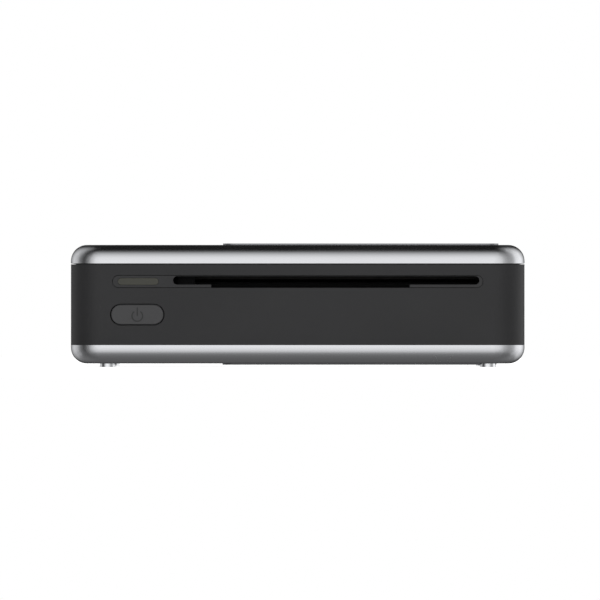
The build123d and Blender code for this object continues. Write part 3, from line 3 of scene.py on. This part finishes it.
import bmesh
import bpy
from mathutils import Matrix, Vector


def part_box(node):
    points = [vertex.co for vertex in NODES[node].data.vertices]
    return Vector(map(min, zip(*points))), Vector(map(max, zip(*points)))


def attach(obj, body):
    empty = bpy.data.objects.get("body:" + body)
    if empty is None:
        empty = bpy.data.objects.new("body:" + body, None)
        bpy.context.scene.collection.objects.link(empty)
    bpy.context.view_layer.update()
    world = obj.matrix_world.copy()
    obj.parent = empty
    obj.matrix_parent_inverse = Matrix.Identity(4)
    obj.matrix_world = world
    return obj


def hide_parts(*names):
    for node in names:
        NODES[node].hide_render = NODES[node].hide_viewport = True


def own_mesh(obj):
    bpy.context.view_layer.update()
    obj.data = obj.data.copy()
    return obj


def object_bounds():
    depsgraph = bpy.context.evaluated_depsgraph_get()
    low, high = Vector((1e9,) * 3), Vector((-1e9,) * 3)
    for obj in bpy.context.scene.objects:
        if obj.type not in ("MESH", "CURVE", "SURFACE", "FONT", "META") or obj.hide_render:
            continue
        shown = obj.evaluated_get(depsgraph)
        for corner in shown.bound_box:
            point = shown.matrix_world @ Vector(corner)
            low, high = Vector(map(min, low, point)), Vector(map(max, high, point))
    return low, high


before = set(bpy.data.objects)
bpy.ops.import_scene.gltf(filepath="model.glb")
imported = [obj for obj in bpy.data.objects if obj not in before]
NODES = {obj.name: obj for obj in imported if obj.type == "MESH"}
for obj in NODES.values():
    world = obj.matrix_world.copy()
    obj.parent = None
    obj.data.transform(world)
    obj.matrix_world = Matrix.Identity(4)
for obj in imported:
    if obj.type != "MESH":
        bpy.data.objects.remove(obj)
cad_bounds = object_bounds()
MM = 0.001


# Materials: helpers that build shader nodes
def srgb(*values):
    """Screen colour 0-255 to a linear colour."""
    def one(value):
        value = value / 255
        return value / 12.92 if value <= 0.04045 else ((value + 0.055) / 1.055) ** 2.4
    if len(values) == 1:
        values = values * 3
    return tuple(one(value) for value in values) + (1.0,)


class Shader:
    """Small wrapper that adds nodes to one material and links them."""

    def __init__(self, name):
        self.material = bpy.data.materials.new(name)
        self.material.use_nodes = True
        self.tree = self.material.node_tree
        self.surface = self.tree.nodes["Principled BSDF"]
        self.coordinates = self.tree.nodes.new("ShaderNodeTexCoord")
        self.place = self.coordinates.outputs["Object"]

    def node(self, kind, **settings):
        made = self.tree.nodes.new("ShaderNode" + kind)
        for key, value in settings.items():
            setattr(made, key, value)
        return made

    def link(self, value, socket):
        if hasattr(value, "is_output"):
            self.tree.links.new(value, socket)
        else:
            socket.default_value = value

    def math(self, operation, a, b=0.0):
        made = self.node("Math", operation=operation)
        self.link(a, made.inputs[0])
        self.link(b, made.inputs[1])
        return made.outputs[0]

    def scaled(self, scale):
        made = self.node("Mapping")
        made.inputs["Scale"].default_value = scale
        self.link(self.place, made.inputs["Vector"])
        return made.outputs[0]

    def noise(self, scale, detail=3.0, rough=0.5, stretch=(1, 1, 1)):
        made = self.node("TexNoise")
        self.link(self.scaled(stretch), made.inputs["Vector"])
        made.inputs["Scale"].default_value = scale
        made.inputs["Detail"].default_value = detail
        made.inputs["Roughness"].default_value = rough
        return made.outputs["Fac"]

    def coordinate(self, axis):
        made = self.node("SeparateXYZ")
        self.link(self.place, made.inputs[0])
        return made.outputs["XYZ".index(axis)]

    def flat_faces(self):
        """1 on faces that lie level on the piece, 0 on its rims and sides."""
        made = self.node("SeparateXYZ")
        self.link(self.coordinates.outputs["Normal"], made.inputs[0])
        level = self.math("ABSOLUTE", made.outputs[2])
        ramp = self.node("MapRange")
        self.link(level, ramp.inputs["Value"])
        ramp.inputs["From Min"].default_value = 0.985
        ramp.inputs["From Max"].default_value = 1.0
        return ramp.outputs[0]

    def with_painted_shade(self, tone, mask, amount=0.08):
        """The tone, nearly black where the mask is 1: painted shade."""
        dim = self.math("SUBTRACT", 1.0, self.math("MULTIPLY", mask, 1.0 - amount))
        made = self.node("VectorMath", operation="SCALE")
        self.link(tone, made.inputs[0])
        self.link(dim, made.inputs["Scale"])
        return made.outputs[0]

    def spread(self, value, low, high):
        """0-1 noise to a range."""
        made = self.node("MapRange")
        self.link(value, made.inputs["Value"])
        made.inputs["From Min"].default_value = 0.3
        made.inputs["From Max"].default_value = 0.7
        made.inputs["To Min"].default_value = low
        made.inputs["To Max"].default_value = high
        return made.outputs[0]

    def mix(self, factor, a, b):
        made = self.node("Mix")
        made.data_type = "RGBA"
        self.link(factor, made.inputs["Factor"])
        self.link(a, made.inputs["A"])
        self.link(b, made.inputs["B"])
        return made.outputs["Result"]

    def bump(self, height, strength, distance):
        made = self.node("Bump")
        made.inputs["Strength"].default_value = strength
        made.inputs["Distance"].default_value = distance
        self.link(height, made.inputs["Height"])
        self.link(made.outputs[0], self.surface.inputs["Normal"])

    def paint(self, colour, rough, metal=0.0, spec=0.5):
        self.link(colour, self.surface.inputs["Base Color"])
        self.link(rough, self.surface.inputs["Roughness"])
        self.surface.inputs["Metallic"].default_value = metal
        self.surface.inputs["Specular IOR Level"].default_value = spec
        return self.material


def shade(colour, by):
    """The colour made lighter or darker by a factor."""
    return tuple(min(1.0, part * by) for part in colour[:3]) + (1.0,)


def plastic(name, colour, rough=0.45, vary=0.06, grain=9000.0, depth=0.00002, strength=0.25, spec=0.5):
    """Moulded plastic: fine texture, slightly uneven tone and gloss."""
    made = Shader(name)
    large = made.noise(60.0)
    fine = made.noise(grain, 2.0)
    light = shade(colour, 1 + vary)
    dark = shade(colour, 1 - vary)
    tone = made.mix(made.spread(large, 0.0, 1.0), dark, light)
    made.bump(fine, strength, depth)
    return made.paint(tone, made.spread(fine, rough - 0.05, rough + 0.05), 0.0, spec)


# Room behind the frame's front face, black in the photo, painted nearly black as painted shade
CHUTE_HALF_WIDTH = 34.0 * MM
CHUTE_FRONT = -58.8 * MM
CHUTE_BACK = -52.0 * MM


def frame_plastic(name, colour, rough, spec):
    """The dark body: painted shade makes the chute behind its front face nearly black and without shine."""
    made = Shader(name)
    large = made.noise(60.0)
    fine = made.noise(9000.0, 2.0)
    light = shade(colour, 1.06)
    dark = shade(colour, 0.94)
    across = made.math("LESS_THAN", made.math("ABSOLUTE", made.coordinate("X")), CHUTE_HALF_WIDTH)
    behind_face = made.math("GREATER_THAN", made.coordinate("Y"), CHUTE_FRONT)
    before_deck = made.math("LESS_THAN", made.coordinate("Y"), CHUTE_BACK)
    # Painted shade mask: inside the chute the tone goes nearly black and the shine goes
    inner = made.math("MULTIPLY", across, made.math("MULTIPLY", behind_face, before_deck))
    tone = made.with_painted_shade(made.mix(made.spread(large, 0.0, 1.0), dark, light), inner)
    made.bump(fine, 0.25, 0.00002)
    made.paint(tone, made.spread(fine, rough - 0.05, rough + 0.05))
    outer_spec = made.math("MULTIPLY", made.math("SUBTRACT", 1.0, inner), spec)
    made.link(outer_spec, made.surface.inputs["Specular IOR Level"])
    return made.material


def metal(name, colour, rough=0.3, stretch=(1, 1, 1), grain=2500.0, strength=0.08, vary=0.05, brushed=0.0,
          uneven=0.04, painted_shade_below=None, satin=0.0, face_colour_over_rim_shade=None):
    """Plated, ground, brushed or painted metal: the stretch runs the grain along an axis.

    Level faces are less mirror-like by satin and may have a colour of their own, which leaves the rims
    darker as painted shade; below the given height the metal is painted nearly black, painted shade.
    """
    made = Shader(name)
    grains = made.noise(grain, 3.0, 0.6, stretch)
    cloud = made.noise(45.0, 2.0)
    light = shade(colour, 1 + vary)
    dark = shade(colour, 1 - vary)
    tone = made.mix(made.spread(grains, 0.0, 1.0), dark, light)
    grain_gloss = made.spread(grains, rough - uneven, rough + uneven)
    gloss = made.math("ADD", grain_gloss, made.spread(cloud, -0.02, 0.02))
    made.bump(grains, strength, 0.00001)
    if brushed:
        made.surface.inputs["Anisotropic"].default_value = brushed
        brushed_along = made.node("CombineXYZ")
        brushed_along.inputs["Y"].default_value = 1.0
        made.link(brushed_along.outputs[0], made.surface.inputs["Tangent"])
    # Level faces take their own colour; the rims keep the darker colour as painted shade
    if face_colour_over_rim_shade:
        tone = made.mix(made.flat_faces(), tone, face_colour_over_rim_shade)
    if painted_shade_below is not None:
        # Painted shade: below the given height the metal is nearly black
        tone = made.with_painted_shade(tone, made.math("LESS_THAN", made.coordinate("Z"), painted_shade_below))
    made.paint(tone, gloss, 1.0)
    if satin:
        shine = made.math("SUBTRACT", 1.0, made.math("MULTIPLY", made.flat_faces(), satin))
        made.link(shine, made.surface.inputs["Metallic"])
    return made.material


def clear(name, colour, rough, transmission):
    """Smoked or clear moulding: tinted body under a glossy skin."""
    made = Shader(name)
    cloud = made.noise(220.0, 2.0)
    tone = made.mix(made.spread(cloud, 0.0, 1.0), shade(colour, 0.88), colour)
    made.surface.inputs["Transmission Weight"].default_value = transmission
    return made.paint(tone, made.spread(cloud, rough - 0.03, rough + 0.03), 0.0, 0.3)


def rubber(name, colour):
    """Ground rubber or foam."""
    made = Shader(name)
    pores = made.noise(5200.0, 4.0, 0.65)
    tone = made.mix(made.spread(pores, 0.0, 1.0), shade(colour, 0.75), colour)
    made.bump(pores, 0.5, 0.00004)
    return made.paint(tone, made.spread(pores, 0.7, 0.9), 0.0, 0.35)


def board_finish(name, colour, spec=0.5):
    """Solder mask with faint tracks running both ways."""
    made = Shader(name)
    cells = made.node("TexVoronoi", feature="F1", distance="CHEBYCHEV")
    made.link(made.scaled((1, 1, 1)), cells.inputs["Vector"])
    cells.inputs["Scale"].default_value = 420.0
    tracks = made.math("GREATER_THAN", cells.outputs["Distance"], 0.62)
    tone = made.mix(tracks, colour, shade(colour, 1.5))
    made.bump(tracks, 0.3, 0.00003)
    return made.paint(tone, made.spread(made.noise(700.0), 0.3, 0.42), 0.0, spec)


SILVER = {"colour": srgb(214, 215, 218), "rough": 0.24, "grain": 7000.0, "strength": 0.02, "vary": 0.02,
          "uneven": 0.015}
FINISH = {
    "silver_shell": metal("silver_shell", **SILVER),
    # The plate's rims are darker than its level face: painted shade
    "brushed_plate": metal("brushed_plate", srgb(136, 137, 140), 0.34, (40, 1, 40), 900.0, 0.12, 0.08, 0.5,
                           satin=0.6, face_colour_over_rim_shade=srgb(172, 173, 176)),
    "dark_body": frame_plastic("dark_body", srgb(44, 44, 45), 0.5, 0.2),
    "dark_insert": plastic("dark_insert", srgb(46, 46, 47), 0.42, spec=0.2),
    "button_plastic": plastic("button_plastic", srgb(64, 64, 65), 0.4, 0.04, 7000.0, spec=0.2),
    "smoke_lens": clear("smoke_lens", srgb(56, 56, 49), 0.22, 0.0),
    "chrome_stud": metal("chrome_stud", srgb(225, 226, 228), 0.08, strength=0.02, vary=0.03),
    "plated_screw": metal("plated_screw", srgb(160, 161, 164), 0.25),
    "sheet_steel": metal("sheet_steel", srgb(178, 180, 182), 0.33, (1, 12, 1), 900.0, 0.1, satin=0.6),
    "ground_steel": metal("ground_steel", srgb(198, 200, 202), 0.16, (30, 1, 1), 1400.0, 0.06),
    "rubber": rubber("rubber", srgb(38, 38, 39)),
    "gear_plastic": plastic("gear_plastic", srgb(232, 230, 222), 0.35, 0.03, 5000.0),
    "bushing_plastic": plastic("bushing_plastic", srgb(150, 142, 118), 0.5, 0.1, 3000.0),
    "inner_plastic": plastic("inner_plastic", srgb(38, 38, 40), 0.5, spec=0.3),
    "aluminium": metal("aluminium", srgb(190, 192, 194), 0.28, (1, 25, 1), 1200.0, 0.1, satin=0.6),
    "ceramic": plastic("ceramic", srgb(14, 13, 12), 0.4, 0.1, 2000.0, spec=0.1),
    "board": board_finish("board", srgb(24, 84, 52)),
    "chip": plastic("chip", srgb(30, 30, 32), 0.5, 0.1, 6000.0),
    "connector": plastic("connector", srgb(226, 220, 200), 0.4),
    "battery": plastic("battery", srgb(70, 110, 168), 0.28, 0.05, 600.0, 0.00006, 0.3),
    "magnet": metal("magnet", srgb(195, 195, 198), 0.12, satin=0.5),
    "spring_steel": metal("spring_steel", srgb(150, 151, 155), 0.24, (1, 20, 1), 1300.0),
    "foam": rubber("foam", srgb(60, 60, 62)),
    "light": clear("light", srgb(232, 232, 222), 0.2, 0.5),
}

# Each node takes its slot's finish
for node in NODES.values():
    for entry in node.material_slots:
        base = entry.material.name.split(".")[0] if entry.material else ""
        entry.material = FINISH.get(base, FINISH["inner_plastic"])

# Nodes that differ from their slot
COVER_SEAM = 17.15 * MM
OWN_FINISH = {
    # Below the seam the cover is painted nearly black: painted shade seen through the seam gap
    "top_cover": metal("cover_silver", painted_shade_below=COVER_SEAM, satin=0.75, **SILVER),
    # The button board is painted near-black with little shine: painted shade seen through the slot
    "button_board": board_finish("board_painted_shade", srgb(8, 8, 9), 0.05),
    # The base plate's rims are painted dark grey as painted shade under the body; its level face is pale
    "base_plate": metal("base_steel", srgb(104, 105, 107), 0.4, (40, 1, 40), 900.0, 0.12, 0.08,
                        face_colour_over_rim_shade=srgb(226, 227, 229)),
    # The exit guide is painted near-black with almost no shine: painted shade inside the slot
    "exit_guide": plastic("guide_painted_shade", srgb(9, 9, 9), 0.6, spec=0.03),
}
for name, finish in OWN_FINISH.items():
    NODES[name].material_slots[0].material = finish


# Power symbol on the button
BUTTON_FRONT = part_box("power_button")[0][1]
SYMBOL_X = -26.5 * MM
SYMBOL_Z = 8.46 * MM
SYMBOL_RADIUS = 0.88 * MM
SYMBOL_STROKE = 0.22 * MM
SYMBOL_GAP = math.radians(34)
BAR_BOTTOM = 8.48 * MM
BAR_TOP = 9.87 * MM
SYMBOL_STEPS = 40
SYMBOL_BACK = BUTTON_FRONT + 0.002 * MM
SYMBOL_FRONT = cad_bounds[0][1]


def flat_outline(shape, points):
    """Prism of a closed outline in XZ, between the symbol's back and front."""
    front = [shape.verts.new((x, SYMBOL_FRONT, z)) for x, z in points]
    back = [shape.verts.new((x, SYMBOL_BACK, z)) for x, z in points]
    shape.faces.new(front)
    shape.faces.new(back[::-1])
    for index in range(len(points)):
        follow = (index + 1) % len(points)
        shape.faces.new((front[index], back[index], back[follow], front[follow]))


def symbol_shape(shape):
    """Open ring with an upright bar in its gap."""
    start = math.pi / 2 + SYMBOL_GAP
    sweep = math.tau - 2 * SYMBOL_GAP
    outer, inner = [], []
    for index in range(SYMBOL_STEPS + 1):
        angle = start + sweep * index / SYMBOL_STEPS
        for ring, side in ((outer, 0.5), (inner, -0.5)):
            radius = SYMBOL_RADIUS + side * SYMBOL_STROKE
            ring.append((SYMBOL_X + radius * math.cos(angle), SYMBOL_Z + radius * math.sin(angle)))
    flat_outline(shape, outer + inner[::-1])
    half = SYMBOL_STROKE / 2
    flat_outline(shape, [(SYMBOL_X - half, BAR_BOTTOM), (SYMBOL_X + half, BAR_BOTTOM),
                         (SYMBOL_X + half, BAR_TOP), (SYMBOL_X - half, BAR_TOP)])
    bmesh.ops.recalc_face_normals(shape, faces=shape.faces)


symbol_mesh = bpy.data.meshes.new("power_symbol")
symbol_build = bmesh.new()
symbol_shape(symbol_build)
symbol_build.to_mesh(symbol_mesh)
symbol_build.free()
symbol_mesh.materials.append(plastic("mark", srgb(24, 24, 25), 0.5, 0.05))
symbol = bpy.data.objects.new("power_symbol", symbol_mesh)
bpy.context.scene.collection.objects.link(symbol)
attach(symbol, "power_button")


# Springs copied onto the bodies that carry them
def flexing(node, body):
    """Leaf springs copied onto the body that carries them, with their CAD node hidden."""
    piece = bpy.data.objects.new(node + "_flexing", NODES[node].data.copy())
    bpy.context.scene.collection.objects.link(piece)
    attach(piece, body)
    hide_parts(node)
    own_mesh(piece)


for name, body, joint, keep in (("pressure_springs", "cover", "pressure_plate_slide", 0.06),
                                ("head_springs", "case", "head_pivot", 0.45)):
    flexing(name, body)


# Floor, lamps and studio
scene = bpy.context.scene
scene.view_settings.view_transform = "Standard"


FLOOR_GLOW = 0.86


def emission_floor():
    """Pale floor: white from above with the object's shadow, clear from underneath."""
    made = Shader("floor")
    tree = made.tree
    output = tree.nodes["Material Output"]
    path = tree.nodes.new("ShaderNodeLightPath")
    glow = tree.nodes.new("ShaderNodeEmission")
    made.link(srgb(255), glow.inputs["Color"])
    paper = made.noise(35.0)
    diffuse = tree.nodes.new("ShaderNodeBsdfDiffuse")
    made.link(made.mix(made.spread(paper, 0.0, 1.0), srgb(226), srgb(232)), diffuse.inputs["Color"])
    add = tree.nodes.new("ShaderNodeAddShader")
    tree.links.new(glow.outputs[0], add.inputs[0])
    tree.links.new(diffuse.outputs[0], add.inputs[1])
    made.link(made.math("MULTIPLY", path.outputs["Is Camera Ray"], FLOOR_GLOW), glow.inputs["Strength"])
    under = tree.nodes.new("ShaderNodeNewGeometry").outputs["Backfacing"]
    glass = tree.nodes.new("ShaderNodeBsdfTransparent")
    sides = tree.nodes.new("ShaderNodeMixShader")
    made.link(under, sides.inputs["Fac"])
    tree.links.new(add.outputs[0], sides.inputs[1])
    tree.links.new(glass.outputs[0], sides.inputs[2])
    tree.links.new(sides.outputs[0], output.inputs["Surface"])
    return made.material


FLOOR_SIZE = 1.2
FLOOR_DROP = 0.02 * MM
bpy.ops.mesh.primitive_plane_add(size=FLOOR_SIZE, location=(0, 0, -FLOOR_DROP))
floor = bpy.context.object
floor.name = "floor"
floor.data.materials.append(emission_floor())
floor.visible_glossy = False


def lamp(name, place, target, size, power):
    """Soft rectangular light that shows only in matt surfaces; the world gives the reflections."""
    data = bpy.data.lights.new(name, "AREA")
    data.shape = "RECTANGLE"
    data.size, data.size_y = size
    data.energy = power
    piece = bpy.data.objects.new(name, data)
    scene.collection.objects.link(piece)
    piece.location = place
    piece.rotation_euler = (Vector(target) - Vector(place)).to_track_quat("-Z", "Y").to_euler()
    piece.visible_camera = False
    piece.visible_glossy = False


CENTRE = (0, 0, 0.010)
lamp("front_light", (0, -1.2, 0.25), CENTRE, (1.2, 0.8), 11.0)
lamp("side_light", (1.4, 0.5, 0.5), CENTRE, (0.5, 0.9), 5.0)
lamp("top_light", (0, 0.2, 1.5), CENTRE, (1.0, 1.0), 7.0)

# Brightness of the studio in reflections, by height in degrees above the horizon
BY_HEIGHT = [(-90, 0.01), (-66, 0.05), (-50, 0.12), (-42, 0.21), (-28, 0.70), (-10, 1.10),
             (0, 1.20), (25, 1.08), (40, 0.87), (56, 0.55), (72, 0.16), (80, 0.03), (90, 0.004)]
# The same by direction, in degrees from the front towards the right
BY_DIRECTION = [(-180, 0.01), (-162, 0.06), (-148, 0.40), (-126, 0.70), (-104, 0.56), (-88, 0.19),
                (-68, 0.04), (-51, 0.22), (-35, 0.65), (-19, 0.93), (0, 1.0), (20, 0.84), (45, 0.44),
                (57, 0.34), (75, 0.42), (96, 0.98), (122, 1.10), (140, 0.66), (160, 0.06), (180, 0.01)]
# Grey of the table, added to both
TABLE_GREY = [(-90, 0.14), (-60, 0.13), (-40, 0.10), (-15, 0.02), (0, 0.0), (90, 0.0)]


WHITE = (1, 1, 1, 1)
FILL = 0.25


def studio_world():
    """White to the camera, a studio with a bright front and dark top in reflections, soft fill elsewhere."""
    world = bpy.data.worlds.new("studio")
    world.use_nodes = True
    tree = world.node_tree

    def made(kind, *inputs, **settings):
        node = tree.nodes.new("ShaderNode" + kind)
        for key, value in settings.items():
            setattr(node, key, value)
        for socket, value in zip(node.inputs, inputs):
            if hasattr(value, "is_output"):
                tree.links.new(value, socket)
            elif value is not None:
                socket.default_value = value
        return node

    def level(value, stops, span):
        """Grey level of an angle in radians, from stops in degrees over a whole span."""
        place = made("Math", value, math.radians(span), operation="DIVIDE").outputs[0]
        place = made("Math", place, 0.5, operation="ADD").outputs[0]
        ramp = made("ValToRGB", place)
        ramp.color_ramp.interpolation = "EASE"
        elements = ramp.color_ramp.elements
        elements.remove(elements[1])
        elements[0].position = stops[0][0] / span + 0.5
        elements[0].color = (stops[0][1],) * 3 + (1,)
        for angle, grey in stops[1:]:
            elements.new(angle / span + 0.5).color = (grey,) * 3 + (1,)
        return ramp.outputs["Color"]

    way = made("SeparateXYZ", made("TexCoord").outputs["Generated"])
    across, along, up = way.outputs
    height = made("Math", up, operation="ARCSINE").outputs[0]
    ahead = made("Math", along, -1.0, operation="MULTIPLY").outputs[0]
    direction = made("Math", across, ahead, operation="ARCTAN2").outputs[0]
    studio = made("VectorMath", level(height, BY_HEIGHT, 180), level(direction, BY_DIRECTION, 360),
                  operation="MULTIPLY").outputs[0]
    studio = made("VectorMath", studio, level(height, TABLE_GREY, 180), operation="ADD").outputs[0]
    path = made("LightPath").outputs
    reflections = made("Background", studio, 1.0)
    fill = made("Background", WHITE, FILL)
    white = made("Background", WHITE, 1.0)
    bounced = made("Math", path["Is Glossy Ray"], path["Is Transmission Ray"], operation="MAXIMUM").outputs[0]
    other = made("MixShader", bounced, fill.outputs[0], reflections.outputs[0])
    seen = made("MixShader", path["Is Camera Ray"], other.outputs[0], white.outputs[0])
    tree.links.new(seen.outputs[0], tree.nodes["World Output"].inputs["Surface"])
    scene.world = world


studio_world()

# Camera at the photo's angle
# What one pixel of the photo shows of the front face
SCALE = 0.16516 * MM
LENS = 1500.0
FRONT_Y = -0.060
PICTURE_SIDE = 600
SENSOR = 36.0
distance = PICTURE_SIDE * SCALE * LENS / SENSOR
camera_data = bpy.data.cameras.new("photo")
camera_data.lens = LENS
camera_data.sensor_width = SENSOR
camera_data.clip_end = 50.0
camera = bpy.data.objects.new("photo", camera_data)
scene.collection.objects.link(camera)
camera.location = (0.375 * MM, FRONT_Y - distance, 11.10 * MM)
camera.rotation_euler = (math.pi / 2, 0, 0)
scene.camera = camera
